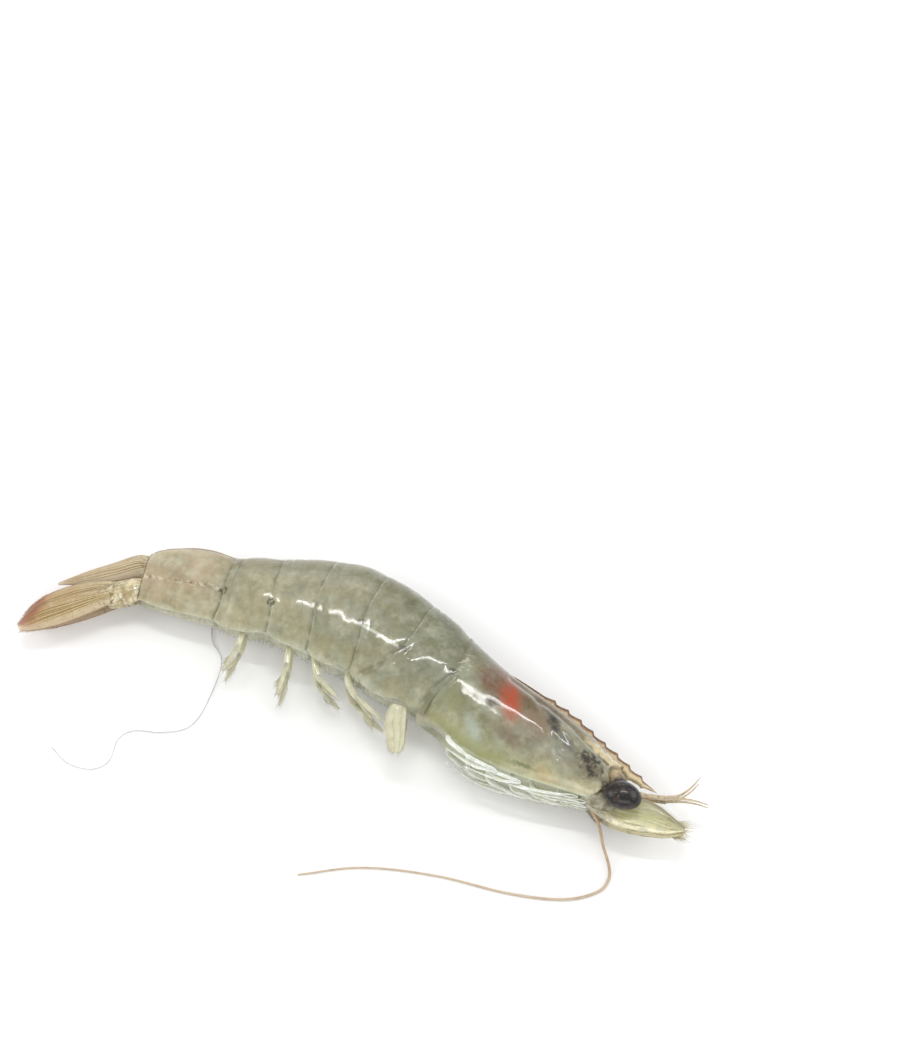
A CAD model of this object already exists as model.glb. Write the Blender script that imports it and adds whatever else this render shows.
import random

import bmesh
import bpy
import numpy as np
from mathutils import Matrix, Vector


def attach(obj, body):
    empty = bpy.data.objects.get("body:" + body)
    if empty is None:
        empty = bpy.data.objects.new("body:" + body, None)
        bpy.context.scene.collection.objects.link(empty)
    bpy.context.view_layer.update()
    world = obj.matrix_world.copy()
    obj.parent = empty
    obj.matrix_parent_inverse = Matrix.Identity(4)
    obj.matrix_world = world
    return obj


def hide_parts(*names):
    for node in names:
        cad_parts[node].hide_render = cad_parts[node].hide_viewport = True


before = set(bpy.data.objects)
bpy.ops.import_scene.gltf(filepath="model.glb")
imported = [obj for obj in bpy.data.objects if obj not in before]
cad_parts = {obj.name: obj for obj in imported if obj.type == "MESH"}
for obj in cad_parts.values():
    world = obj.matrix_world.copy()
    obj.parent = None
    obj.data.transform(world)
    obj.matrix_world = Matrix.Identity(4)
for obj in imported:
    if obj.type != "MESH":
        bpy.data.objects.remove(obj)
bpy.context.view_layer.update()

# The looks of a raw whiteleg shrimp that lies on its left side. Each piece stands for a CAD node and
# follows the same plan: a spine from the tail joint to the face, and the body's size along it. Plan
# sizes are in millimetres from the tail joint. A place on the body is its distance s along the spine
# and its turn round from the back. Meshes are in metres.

MM = 0.001
TURN = 2 * np.pi
BOX_CENTRE = np.array([48.96, -33.06, 0.0])
SPINE_STEP = 0.2
RIGHT, LEFT = 1, -1
SIDES = ((RIGHT, "right"), (LEFT, "left"))

# Abdominal segments from the tail forward: number, length, heading of the middle in degrees
SEGMENTS = (
    (6, 19.6, -13.0), (5, 11.0, -10.5), (4, 10.8, -12.4), (3, 9.9, -20.8), (2, 11.2, -33.7), (1, 10.2, -34.3),
)
STARTS = dict(zip((row[0] for row in SEGMENTS), np.cumsum([0.0] + [row[1] for row in SEGMENTS])))
ABDOMEN_LENGTH = sum(row[1] for row in SEGMENTS)
TAIL_HEADING, CARAPACE_HEADING = -13.0, -33.5
SHELL_END = ABDOMEN_LENGTH + 44.8

# Distance from the tail joint: back, belly, half width, height of the spine, roundness of back and belly
BODY = (
    (0.0, 6.4, 6.3, 4.3, 5.6, 1.7, 2.2), (3.0, 8.0, 6.6, 4.6, 5.8, 1.7, 2.2),
    (10.0, 9.4, 7.1, 5.2, 6.3, 1.7, 2.2), (15.0, 9.6, 7.5, 5.6, 6.6, 1.75, 2.2),
    (19.6, 8.9, 8.6, 6.0, 6.9, 1.9, 2.3), (25.0, 9.7, 9.1, 6.6, 7.2, 2.0, 2.3),
    (30.6, 10.4, 9.6, 7.1, 7.45, 2.0, 2.3), (36.0, 11.4, 10.6, 7.4, 7.6, 2.0, 2.3),
    (41.4, 12.6, 12.1, 7.7, 7.7, 2.0, 2.3), (48.0, 13.4, 12.8, 7.9, 7.75, 2.0, 2.3),
    (55.0, 13.2, 13.1, 8.0, 7.8, 2.0, 2.3), (62.5, 12.7, 13.1, 8.1, 7.85, 2.0, 2.2),
    (69.0, 11.8, 12.8, 8.1, 7.9, 2.0, 2.1), (72.7, 11.0, 12.2, 8.1, 7.9, 2.0, 2.2),
    (79.0, 9.7, 12.4, 8.1, 7.9, 1.9, 2.7), (86.0, 8.6, 13.6, 8.1, 7.95, 1.8, 3.1),
    (93.0, 8.1, 13.1, 7.8, 8.0, 1.75, 3.1), (100.0, 7.6, 11.6, 7.2, 8.1, 1.75, 2.9),
    (108.0, 6.4, 9.2, 6.4, 8.3, 1.75, 2.5), (117.5, 4.5, 6.7, 4.9, 8.4, 1.8, 2.2),
    (140.0, 4.5, 6.7, 4.9, 8.4, 1.8, 2.2),
)

# Joints: distance along the spine, then how far the rear edge of the shell ahead stands forward of it
# at shares of the way from back to belly
FLAP = 0.83                     # the share where the side flaps end
JOINT_SHARES = (0.0, 0.25, 0.5, 0.66, FLAP, 1.0)
JOINTS = {
    6: (19.6, (0.4, 0.2, -0.4, -0.5, -1.3, -0.9)), 5: (30.6, (0.2, 0.1, -0.2, 0.3, 0.2, 0.4)),
    4: (41.4, (0.3, -0.3, -1.1, -0.2, 0.3, 0.6)), 3: (51.3, (0.0, 0.0, 0.5, 2.6, 4.3, 4.4)),
    2: (62.5, (-0.4, 0.0, 0.5, -1.8, -5.0, -5.2)), 1: (72.7, (0.0, 1.4, 2.6, 0.8, 0.6, 0.9)),
}
RIM_LIFT = 0.09                 # how far a shell's rear rim stands off the body
TUCK_LIFT, TUCK_LENGTH = -0.13, 1.6     # how deep and how far its front lies under the shell ahead

# Places along the carapace, from its rear margin, and towards the back
CREST = (
    (10.0, 8.7), (14.0, 8.9), (20.0, 8.8), (26.0, 8.5), (31.0, 8.0), (37.0, 6.7), (42.0, 5.8), (46.0, 4.9),
    (50.0, 4.1), (54.2, 3.5),
)
UNDERSIDE = ((10.0, 7.0), (14.0, 6.6), (28.0, 5.6), (38.0, 4.0), (45.0, 2.9), (49.0, 2.6), (54.2, 3.3))
ROSTRUM_FROM, ROSTRUM_LENGTH = 10.0, 44.2
TEETH, TEETH_FROM, TEETH_TO, TOOTH_HEIGHT = 8, 21.0, 50.0, 0.6
ROSTRAL_GROOVE = ((14.0, 6.9), (24.4, 5.9), (30.0, 5.0), (36.0, 3.2), (42.0, 1.9))
ORBIT_RIDGE = ((29.0, 2.9), (34.0, 1.2), (38.0, 0.3), (43.5, -0.6))
NECK_GROOVE = ((21.5, 5.8), (25.0, 3.0), (29.0, -0.4), (32.0, -2.8))
LIVER_GROOVE = ((32.0, -2.8), (36.0, -3.6), (41.0, -4.6))
CHEEK_LINE = ((8.0, -3.6), (20.0, -4.4), (30.0, -4.2))
SPINES = ((32.4, -2.4, 0.5), (43.6, -4.4, 0.7))
FRONT_EDGE = (
    (0.0, 45.2), (0.16, 44.4), (0.30, 43.2), (0.42, 42.9), (0.52, 43.6), (0.58, 44.8), (0.64, 44.2),
    (0.72, 43.6), (0.84, 42.6), (1.0, 41.8),
)

# Places on the head: along the carapace, towards the back, and out from the middle or half width
EYE_CENTRE = (48.7, -2.8, 5.5)
EYE_RADII = (4.2, 3.15, 2.75)
EYE_HEADING = -16.0
EYESTALK = ((41.8, 0.2, 1.6), (45.2, 0.4, 3.2))
HEAD_SCALE = (
    (42.4, -6.0, 2.2), (46.0, -5.6, 3.0), (50.0, -4.7, 3.6), (55.5, -2.8, 3.5), (60.0, -1.9, 2.2),
    (63.8, -0.9, 0.3),
)
HEAD_SCALE_OUT = 1.75
SCALE_BASE = ((41.0, -5.2, 1.4), (44.0, -5.3, 1.9), (47.4, -5.0, 1.8))
# A feeler's stem and two branches: places, radius at both ends, and how round they are
FEELER = (
    (((45.2, -1.0, 1.15), (50.0, 0.1, 1.2), (56.5, 3.1, 1.2)), 0.82, 0.55, 0.85),
    (((55.9, 2.9, 1.25), (58.6, 5.2, 1.4), (59.9, 8.2, 1.9), (60.4, 11.0, 2.4)), 0.38, 0.10, 1.0),
    (((55.6, 2.5, 1.15), (59.5, 5.0, 1.1), (62.4, 6.3, 1.0), (65.0, 7.0, 1.0)), 0.36, 0.10, 1.0),
)

# Legs: name, distance out, then places along the carapace and the drop below the belly there
LEGS = (
    ("mouth_leg", 0.65, ((37.0, 0.0), (40.0, 0.5), (43.6, 0.2))),
    ("leg_1", 1.55, ((31.0, 0.0), (35.5, 0.9), (39.5, 0.4), (43.4, 0.2))),
    ("leg_2", 2.45, ((26.5, 0.0), (32.0, 1.0), (37.0, 0.6), (42.4, 0.2))),
    ("leg_3", 3.35, ((21.0, 0.0), (28.0, 1.1), (34.0, 0.9), (40.4, 0.3))),
    ("leg_4", 4.25, ((16.0, 0.0), (22.0, 0.1), (28.9, 0.7), (24.0, 1.7), (16.0, 1.8))),
    ("leg_5", 5.15, ((10.0, 0.0), (16.0, 0.1), (23.2, 0.6), (18.0, 1.6), (10.6, 1.6))),
)
LEG_CLEARANCE = 0.7

# Swimmerets: segment, share of it, distance out, then the stem's heading, length and half width, and
# the paddles' heading and length
SWIMMERETS = (
    (1, 0.66, 3.8, -90.0, 5.6, 2.3 * 1.12, -91.0, 3.0), (2, 0.40, 3.4, -52.0, 5.0, 1.6 * 0.6, -50.0, 7.2),
    (3, 0.30, 3.4, -64.0, 4.0, 1.5 * 0.6, -54.0, 5.6), (4, 0.55, 3.2, -95.0, 4.2, 1.4 * 0.6, -112.0, 6.5),
    (5, 0.50, 3.0, -110.0, 3.6, 1.3 * 0.6, -125.0, 5.6),
)

# Tail fan in plan: place and half width
FAN_STEM = ((0.8, -2.9, 2.2), (-1.6, -3.3, 2.7), (-4.8, -4.2, 2.8), (-7.6, -5.3, 2.1))
TELSON = ((1.0, 2.7, 2.9), (-1.4, 3.0, 2.8), (-6.5, 1.7, 2.3), (-13.0, 0.3, 1.5), (-19.4, -1.1, 0.25))
OUTER_BLADE = (
    (-4.6, -4.2, 1.3), (-12.0, -6.4, 2.7), (-19.5, -8.9, 3.1), (-24.6, -10.8, 2.3), (-27.6, -12.1, 0.8)
)
INNER_BLADE = (
    (-4.8, -2.2, 1.3), (-12.0, -3.5, 2.5), (-19.0, -5.9, 2.8), (-23.4, -7.9, 2.1), (-26.4, -9.6, 0.7)
)
FAN_RIBS = (-0.62, -0.34, -0.22, 0.12, 0.30, 0.66)

# Whiskers in plan, with the height where they don't lie on the surface. The left one's first stretch,
# under the body, is along the spine and towards the back.
ON_SURFACE = 0.4
WHISKER_ROOT = (42.4, -6.4, 1.8)
RIGHT_WHISKER = (
    (101.9, -58.4, 7.6), (103.0, -62.0, 3.4), (104.2, -65.4, 1.1), (104.2, -68.4, 0.45), (101.6, -71.4),
    (94.0, -73.0), (82.0, -71.6), (66.0, -67.6), (50.0, -65.8), (36.0, -67.4),
)
LEFT_WHISKER_HIDDEN = (
    (118.8, -7.9, 3.6), (117.8, -7.6, 1.7), (114.0, -5.6, 0.55), (109.0, -1.0), (103.0, 3.6), (94.0, 6.6),
    (84.0, 8.0), (74.0, 9.6), (64.0, 10.6), (54.0, 11.0), (44.0, 10.6), (34.0, 9.2), (26.0, 8.4), (20.0, 7.2),
    (17.2, 3.0), (16.6, -3.0), (17.6, -9.0),
)
LEFT_WHISKER = (
    (17.8, -18.2), (14.6, -28.2), (10.8, -33.4), (4.6, -34.6), (-1.2, -34.2), (-4.8, -36.2), (-6.7, -41.4),
    (-10.6, -43.2), (-15.8, -41.8), (-19.6, -38.1),
)
WHISKER_RADII = ((0.0, 0.7), (3.0, 0.55), (6.0, 0.36), (60.0, 0.22), (400.0, 0.08))

# The photograph's camera: height above the horizon, distance, size of a pixel at the floor, and the
# floor point under the middle of the photo
CAMERA_ELEVATION, CAMERA_DISTANCE = 68.0, 0.7
PIXEL_AT_FLOOR, PHOTO_HEIGHT = 0.00023, 1050
PHOTO_CENTRE = (20.39, 48.66)


# Plan


def smooth_table(rows, at):
    """The values of a table at one place, read from a smooth curve through its rows."""
    rows = np.array(rows, float)
    at = min(max(at, rows[0, 0]), rows[-1, 0])
    i = max(j for j in range(len(rows) - 1) if rows[j, 0] <= at)
    before, a, b, after = rows[max(i - 1, 0)], rows[i], rows[i + 1], rows[min(i + 2, len(rows) - 1)]
    span = b[0] - a[0]
    t = (at - a[0]) / span
    slope_a = (b - before) / (b[0] - before[0]) * span
    slope_b = (after - a) / (after[0] - a[0]) * span
    made = (2 * t**3 - 3 * t**2 + 1) * a + (t**3 - 2 * t**2 + t) * slope_a
    return (made + (3 * t**2 - 2 * t**3) * b + (t**3 - t**2) * slope_b)[1:]


def smooth_path(points, per_span):
    """Points on a smooth curve through the given ones, per_span to each stretch."""
    rows = [(i, *p) for i, p in enumerate(points)]
    return np.array([smooth_table(rows, i / per_span) for i in range((len(points) - 1) * per_span + 1)])


def smooth_line(rows, at, low=0.0, high=1.0, count=101):
    """The second column of a table at an array of places from low to high."""
    grid = np.linspace(low, high, count)
    return np.interp(at, grid, [smooth_table(rows, g)[0] for g in grid])


def make_spine():
    """Stations along the spine with the heading and the plan place at each."""
    middles = [STARTS[number] + length / 2 for number, length, _ in SEGMENTS]
    stations = [0.0, *middles, ABDOMEN_LENGTH + 4.0, ABDOMEN_LENGTH + 89.6]
    headings = [TAIL_HEADING, *(row[2] for row in SEGMENTS), CARAPACE_HEADING, CARAPACE_HEADING]
    s = np.arange(0.0, stations[-1], SPINE_STEP)
    heading = np.radians(np.interp(s, stations, headings))
    return s, heading, np.cumsum(np.cos(heading)) * SPINE_STEP, np.cumsum(np.sin(heading)) * SPINE_STEP


SPINE_S, SPINE_HEADING, SPINE_X, SPINE_Y = make_spine()
SIZE_S = np.arange(-6.0, 140.0, 0.25)
SIZE_ROWS = np.array([smooth_table(BODY, s) for s in SIZE_S])


def body_size(s):
    """Back, belly, half width, height and the two roundnesses at stations s."""
    return [np.interp(s, SIZE_S, SIZE_ROWS[:, k]) for k in range(6)]


def place(s, back, up):
    """The place in metres for arrays of distance along the spine, towards the back, and height."""
    s = np.asarray(s, float)
    heading, tail = np.interp(s, SPINE_S, SPINE_HEADING), np.radians(TAIL_HEADING)
    before = np.minimum(s, 0)
    x = np.interp(s, SPINE_S, SPINE_X) + before * np.cos(tail) - np.sin(heading) * back
    y = np.interp(s, SPINE_S, SPINE_Y) + before * np.sin(tail) + np.cos(heading) * back
    return (np.stack(np.broadcast_arrays(x, y, up), -1) - BOX_CENTRE) * MM


def spine_place(s, back, out):
    """One place in metres, measured out from the middle plane."""
    return place(s, back, body_size(s)[3] + out)


def head_place(along, back, out):
    """One place in metres, measured from the carapace's rear margin."""
    return spine_place(ABDOMEN_LENGTH + along, back, out)


def to_plan(point):
    return point / MM + BOX_CENTRE


def powers(side_cos, back_power, belly_power):
    """How round the body is: the side is a plain round, the back and belly are as the plan says."""
    return 2 + (np.where(side_cos > 0, back_power, belly_power) - 2) * np.abs(side_cos) ** 1.5


def skin(s, turn, lift, shrink=1.0):
    """Places on the body's skin. turn goes once round, from the back over the right side."""
    back, belly, width, height, back_power, belly_power = body_size(s)
    c, w = np.cos(turn * TURN), np.sin(turn * TURN)
    power = powers(c, back_power, belly_power)
    reach = np.where(c > 0, back, belly)
    b = np.sign(c) * reach * np.abs(c) ** (2 / power)
    z = np.sign(w) * width * np.abs(w) ** (2 / power)
    length = np.hypot(b / reach**2, z / width**2) + 1e-9
    b = (b + lift * b / reach**2 / length) * shrink
    up = height + (z + lift * z / width**2 / length) * shrink
    # Where the flank meets the surface it lies on, it is pressed flat
    return place(s, b, np.where(up < 0.25, 0.03 + 0.22 * np.exp((up - 0.25) / 0.22), up))


def fold(turn):
    """Share of the way from the back, 0, to the belly, 1, on either side."""
    return 1 - np.abs(1 - 2 * (turn % 1.0))


def bump(distance, width):
    """A smooth bump, 1 in the middle and near 0 past its width."""
    return np.exp(-((distance / width) ** 2))


def step(value, low, high):
    """0 below low, 1 above high, and smooth between."""
    t = np.clip((value - low) / (high - low), 0, 1)
    return t * t * (3 - 2 * t)


def unit(vectors):
    return vectors / (np.linalg.norm(vectors, axis=-1, keepdims=True) + 1e-12)


def joint_edge(number, share):
    """Where the shell ahead of a joint ends, by share of the way from back to belly."""
    at, offsets = JOINTS[number]
    return at + smooth_line(list(zip(JOINT_SHARES, offsets)), share)


# Meshes


def bent_grid(around, along, shape, patterns):
    """A bmesh grid bent into shape.

    shape and each of the patterns take arrays u and v from 0 to 1, round and along. shape gives
    places in metres, and a pattern gives the pairs of numbers of the UV map that has its name.
    """
    bm = bmesh.new()
    bmesh.ops.create_grid(bm, x_segments=around, y_segments=along, size=0.5)
    mesh = bpy.data.meshes.new("grid")
    bm.to_mesh(mesh)
    bm.free()
    flat = np.empty(len(mesh.vertices) * 3)
    mesh.vertices.foreach_get("co", flat)
    u, v = flat.reshape(-1, 3).T[:2] + 0.5
    corners = np.empty(len(mesh.loops), int)
    mesh.loops.foreach_get("vertex_index", corners)
    for name, pattern in patterns.items():
        values = np.stack(np.broadcast_arrays(*pattern(u, v)), -1)[corners]
        mesh.uv_layers.new(name=name).data.foreach_set("uv", values.ravel())
    mesh.vertices.foreach_set("co", shape(u, v).ravel())
    bm = bmesh.new()
    bm.from_mesh(mesh)
    bpy.data.meshes.remove(mesh)
    bmesh.ops.remove_doubles(bm, verts=bm.verts, dist=2e-7)
    bmesh.ops.recalc_face_normals(bm, faces=bm.faces)
    return bm


def joined(parts):
    """One bmesh from several that share their UV maps."""
    whole = bmesh.new()
    for bm in parts:
        mesh = bpy.data.meshes.new("part")
        bm.to_mesh(mesh)
        bm.free()
        whole.from_mesh(mesh)
        bpy.data.meshes.remove(mesh)
    return whole


def add_mesh(name, bm, material):
    mesh = bpy.data.meshes.new(name)
    bm.to_mesh(mesh)
    bm.free()
    mesh.materials.append(material)
    made = bpy.data.objects.new(name, mesh)
    bpy.context.scene.collection.objects.link(made)
    return made


def finish_piece(name, bm, look, *nodes):
    """Makes a bmesh the visible piece that stands for CAD nodes, or for the node of its own name."""
    nodes = nodes or (name,)
    slot, material = LOOKS[look]
    piece = add_mesh(name, bm, material)
    piece.data.shade_smooth()
    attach(piece, "root")
    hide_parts(*nodes)


def tube(path, radii, around=14, squash=1.0, ends=3):
    """A closed tube in metres along path. squash scales its upright half size."""
    path, count = np.asarray(path, float), len(path)
    squash = np.broadcast_to(squash, count)
    ahead = unit(np.gradient(path, axis=0))
    across = unit(np.cross((0.0, 0.0, 1.0), ahead))
    upright = np.cross(ahead, across)
    rows = count - 1 + 2 * ends

    def shape(u, v):
        row = np.rint(v * rows).astype(int) - ends
        k = np.clip(row, 0, count - 1)
        # The rows past each end close it with a round cap
        over = (row - k) / ends * np.pi / 2
        reach, radius = radii[k] * np.sin(over) * 0.7, radii[k] * np.cos(over)
        wide, tall = np.cos(u * TURN) * radius, np.sin(u * TURN) * radius * squash[k]
        return path[k] + ahead[k] * reach[:, None] + across[k] * wide[:, None] + upright[k] * tall[:, None]

    return bent_grid(
        around, rows, shape, {"lay": lambda u, v: (np.clip((v * rows - ends) / (count - 1), 0, 1), u)}
    )


def blade(line, thick, around=64, along=90, ridges=(), bend=None):
    """A thin closed leaf on a leaf_line. A ridge is a rib: its place across, -1 to 1, and its height."""
    centre, half = line

    def way(v):
        return 0.75 * v + 0.25 * (0.5 - 0.5 * np.cos(np.clip(v, 0, 1) * np.pi))

    def shape(u, v):
        t = way(v)
        middle, side = centre(t)
        w, upper = np.cos(u * TURN), np.sin(u * TURN)
        # The ends of the leaf close to a point
        shut = np.sqrt(np.clip(np.minimum(v / 0.02, (1 - v) / 0.02), 0, 1))
        z = np.sign(upper) * np.abs(upper) ** 0.8 * thick(t)
        for across, height in ridges:
            near = bump(w - across * (0.25 + 0.75 * t), 0.07) * step(v, 0.0, 0.15) * step(1 - v, 0.0, 0.2)
            z = z + np.sign(upper) * near * height * np.abs(upper) ** 0.5
        if bend is not None:
            z = z + bend(w, t) * shut
        made = middle + side * (w * half(t) * shut)[:, None]
        made[:, 2] += z * shut
        return made

    return bent_grid(around, along, shape, {"lay": lambda u, v: (way(v), 0.5 + 0.5 * np.cos(u * TURN))})


def bristles(roots, ways, lengths, radius):
    """Fine tapering hairs, one thin cone each, with a UV map from root to tip."""
    bm = bmesh.new()
    layer = bm.loops.layers.uv.new("lay")
    for root, way, length in zip(roots, ways, lengths):
        root, way = Vector(root), Vector(way).normalized()
        turned = way.to_track_quat("Z", "Y").to_matrix().to_4x4()
        matrix = Matrix.Translation(root + way * length / 2) @ turned
        made = bmesh.ops.create_cone(
            bm, cap_ends=True, segments=3, radius1=radius, radius2=radius * 0.15, depth=length, matrix=matrix
        )
        for vert in made["verts"]:
            for loop in vert.link_loops:
                loop[layer].uv = ((vert.co - root).dot(way) / length, 2.0)
    return bm


# Looks


LOOKS = {}


def tint(colour):
    """A colour from its 0 to 255 values on screen."""
    return tuple((c / 255 / 12.92) if c <= 10 else ((c / 255 + 0.055) / 1.055) ** 2.4 for c in colour)


def operator(kind, reflected=False):
    """A Python operator that adds a Math node of this kind."""
    return lambda self, other: self.look.math(kind, *((other, self) if reflected else (self, other)))


class Wire:
    """One number inside a material. Python's operators on it add Math nodes."""

    __add__, __radd__ = operator("ADD"), operator("ADD")
    __sub__, __rsub__ = operator("SUBTRACT"), operator("SUBTRACT", True)
    __mul__, __rmul__ = operator("MULTIPLY"), operator("MULTIPLY")
    __truediv__, __pow__ = operator("DIVIDE"), operator("POWER")

    def __init__(self, look, socket):
        self.look, self.socket = look, socket

    def size(self):
        return self.look.math("ABSOLUTE", self)

    def rise(self, low, high):
        """0 below low, 1 above high, and smooth between. It falls if low is the larger."""
        sockets = {"Value": self, "From Min": min(low, high), "From Max": max(low, high)}
        node = self.look.add("MapRange", {"interpolation_type": "SMOOTHSTEP"}, sockets)
        made = Wire(self.look, node.outputs["Result"])
        return 1 - made if low > high else made


class Look:
    """A wet material and its colour so far. Colours are given as 0 to 255 values on screen."""

    def __init__(self, name, roughness, coat=1.0, flesh=0.0, reach=0.003, coat_roughness=0.09):
        self.material = bpy.data.materials.new(name)
        self.material.use_nodes = True
        self.tree = self.material.node_tree
        self.shader = self.tree.nodes["Principled BSDF"]
        for socket, value in (
            ("Roughness", roughness), ("IOR", 1.40), ("Coat Weight", coat),
            ("Coat Roughness", coat_roughness), ("Coat IOR", 1.38), ("Subsurface Weight", flesh),
            ("Subsurface Radius", (1.0, 0.8, 0.6)), ("Subsurface Scale", reach),
        ):
            self.set(socket, value)
        self.place = self.add("TexCoord").outputs["Object"]
        self.colour = None

    def set(self, socket, value):
        self.give(self.shader.inputs[socket], value)

    def give(self, socket, value):
        """Links or sets one socket."""
        value = value.socket if isinstance(value, Wire) else value
        if isinstance(value, bpy.types.NodeSocket):
            self.tree.links.new(value, socket)
        else:
            socket.default_value = (*tint(value), 1) if socket.type == "RGBA" else value

    def add(self, kind, settings=None, sockets=None):
        """Adds a node, with its settings first and then the values or links of its sockets."""
        node = self.tree.nodes.new(f"ShaderNode{kind}")
        for key, value in (settings or {}).items():
            if key == "stops":
                elements = node.color_ramp.elements
                while len(elements) < len(value):
                    elements.new(1.0)
                for element, (element.position, colour) in zip(elements, value):
                    element.color = (*tint(colour), 1)
            else:
                setattr(node, key, value)
        for key, value in (sockets or {}).items():
            self.give(node.inputs[key], value)
        return node

    def math(self, operation, *values):
        return Wire(self, self.add("Math", {"operation": operation}, dict(enumerate(values))).outputs[0])

    def split(self, vector):
        """The first two numbers of a vector."""
        node = self.add("SeparateXYZ", None, {0: vector})
        return Wire(self, node.outputs[0]), Wire(self, node.outputs[1])

    def uv(self, name):
        """The two numbers of one of the piece's UV maps."""
        return self.split(self.add("UVMap", {"uv_map": name}).outputs[0])

    def noise_at(self, vector, scale, detail, roughness):
        sockets = {"Vector": vector, "Scale": scale, "Detail": detail, "Roughness": roughness}
        return Wire(self, self.add("TexNoise", None, sockets).outputs[0])

    def noise(self, millimetres, detail=3.0, roughness=0.55, seed=0.0, stretch=(1, 1, 1)):
        """Noise from 0 to 1 with features of about this size."""
        sockets = {"Vector": self.place, "Scale": stretch, "Location": (seed, seed * 0.7, 0.0)}
        moved = self.add("Mapping", {"vector_type": "POINT"}, sockets).outputs[0]
        return self.noise_at(moved, 1 / (millimetres * MM), detail, roughness)

    def fibres(self, along, across, long, wide, seed=0.0):
        """Noise drawn out along a leaf: length and width of its streaks as shares of the leaf."""
        sockets = {0: along * (1 / long), 1: across * (1 / wide), 2: seed}
        vector = self.add("CombineXYZ", None, sockets).outputs[0]
        return self.noise_at(vector, 1.0, 3.0, 0.6)

    def cells(self, millimetres):
        """Distance to the nearest of scattered points, in cell widths."""
        sockets = {"Vector": self.place, "Scale": 1 / (millimetres * MM)}
        return Wire(self, self.add("TexVoronoi", {"feature": "F1"}, sockets).outputs["Distance"])

    def specks(self, millimetres, dot, cover, seed=0.0):
        """Scattered dots: spacing, dot size as a share of it, and how much of the surface has them."""
        dots = self.cells(millimetres).rise(dot, dot * 0.55)
        return dots * self.noise(millimetres * 3.3, 2.0, seed=seed).rise(1 - cover, 1.12 - cover)

    def squiggles(self, millimetres, width, seed):
        """Thin wandering lines."""
        return (self.noise(millimetres, 2.0, seed=seed) - 0.5).size().rise(width, width * 0.35)

    def mix(self, factor, colour_a, colour_b):
        return self.add("Mix", {"data_type": "RGBA"}, {0: factor, 6: colour_a, 7: colour_b}).outputs[2]

    def over(self, factor, colour):
        """Lays a colour over the one so far."""
        self.colour = self.mix(factor, self.colour, colour)

    def clouds(self, *rows):
        """Lays soft patches: size, detail, roughness, seed, where noise starts and ends, strength, colour."""
        for size, detail, roughness, seed, low, high, strength, colour in rows:
            self.over(self.noise(size, detail, roughness, seed).rise(low, high) * strength, colour)

    def ramp(self, value, *stops):
        """A colour from a row of stops, each a place from 0 to 1 and a colour."""
        return self.add("ValToRGB", {"stops": stops}, {0: value}).outputs[0]

    def wander(self, millimetres, amount, seed):
        """The place with its edges made ragged: x and y in millimetres, pushed about by noise."""
        return [
            line / MM + (self.noise(millimetres, 4.0, 0.6, seed + more) - 0.5) * amount
            for line, more in zip(self.split(self.place), (0.0, 0.37))
        ]

    def spot(self, where, x, y, long, wide, heading):
        """1 in the middle of an oval patch of the plan, 0 at its edge, sizes in millimetres."""
        c, s = np.cos(np.radians(heading)), np.sin(np.radians(heading))
        dx, dy = where[0] - x, where[1] - y
        first, second = (dx * c + dy * s) / long, (dy * c - dx * s) / wide
        return 1 - (first * first + second * second) ** 0.5

    def done(self, height=None, millimetres=0.0, strength=1.0):
        """The finished material, with relief from a height between 0 and 1."""
        self.set("Base Color", self.colour)
        if height is not None:
            sockets = {"Height": height, "Distance": millimetres * MM, "Strength": strength}
            self.set("Normal", self.add("Bump", None, sockets).outputs[0])
        return self.material


# Colours down the body, at the back, the mid side and the flap, from the tail to the face
BACK_COLOURS = (
    (0.0, (180, 166, 132)), (0.14, (168, 154, 120)), (0.17, (120, 112, 80)), (0.26, (118, 110, 80)),
    (0.40, (106, 102, 66)), (0.52, (90, 92, 64)), (0.62, (88, 90, 62)), (0.70, (94, 88, 60)),
    (0.84, (94, 78, 54)), (1.0, (126, 112, 80)),
)
SIDE_COLOURS = (
    (0.0, (172, 154, 124)), (0.13, (166, 152, 122)), (0.18, (152, 144, 112)), (0.28, (160, 153, 122)),
    (0.40, (142, 138, 112)), (0.50, (128, 126, 98)), (0.60, (112, 114, 94)), (0.68, (126, 126, 94)),
    (0.84, (128, 120, 98)), (1.0, (140, 132, 104)),
)
FLAP_COLOURS = (
    (0.0, (172, 156, 122)), (0.14, (168, 158, 126)), (0.30, (170, 167, 136)), (0.45, (156, 151, 116)),
    (0.56, (158, 153, 122)), (0.66, (160, 158, 124)), (0.78, (158, 160, 116)), (0.90, (196, 190, 150)),
    (1.0, (212, 204, 168)),
)


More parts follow.
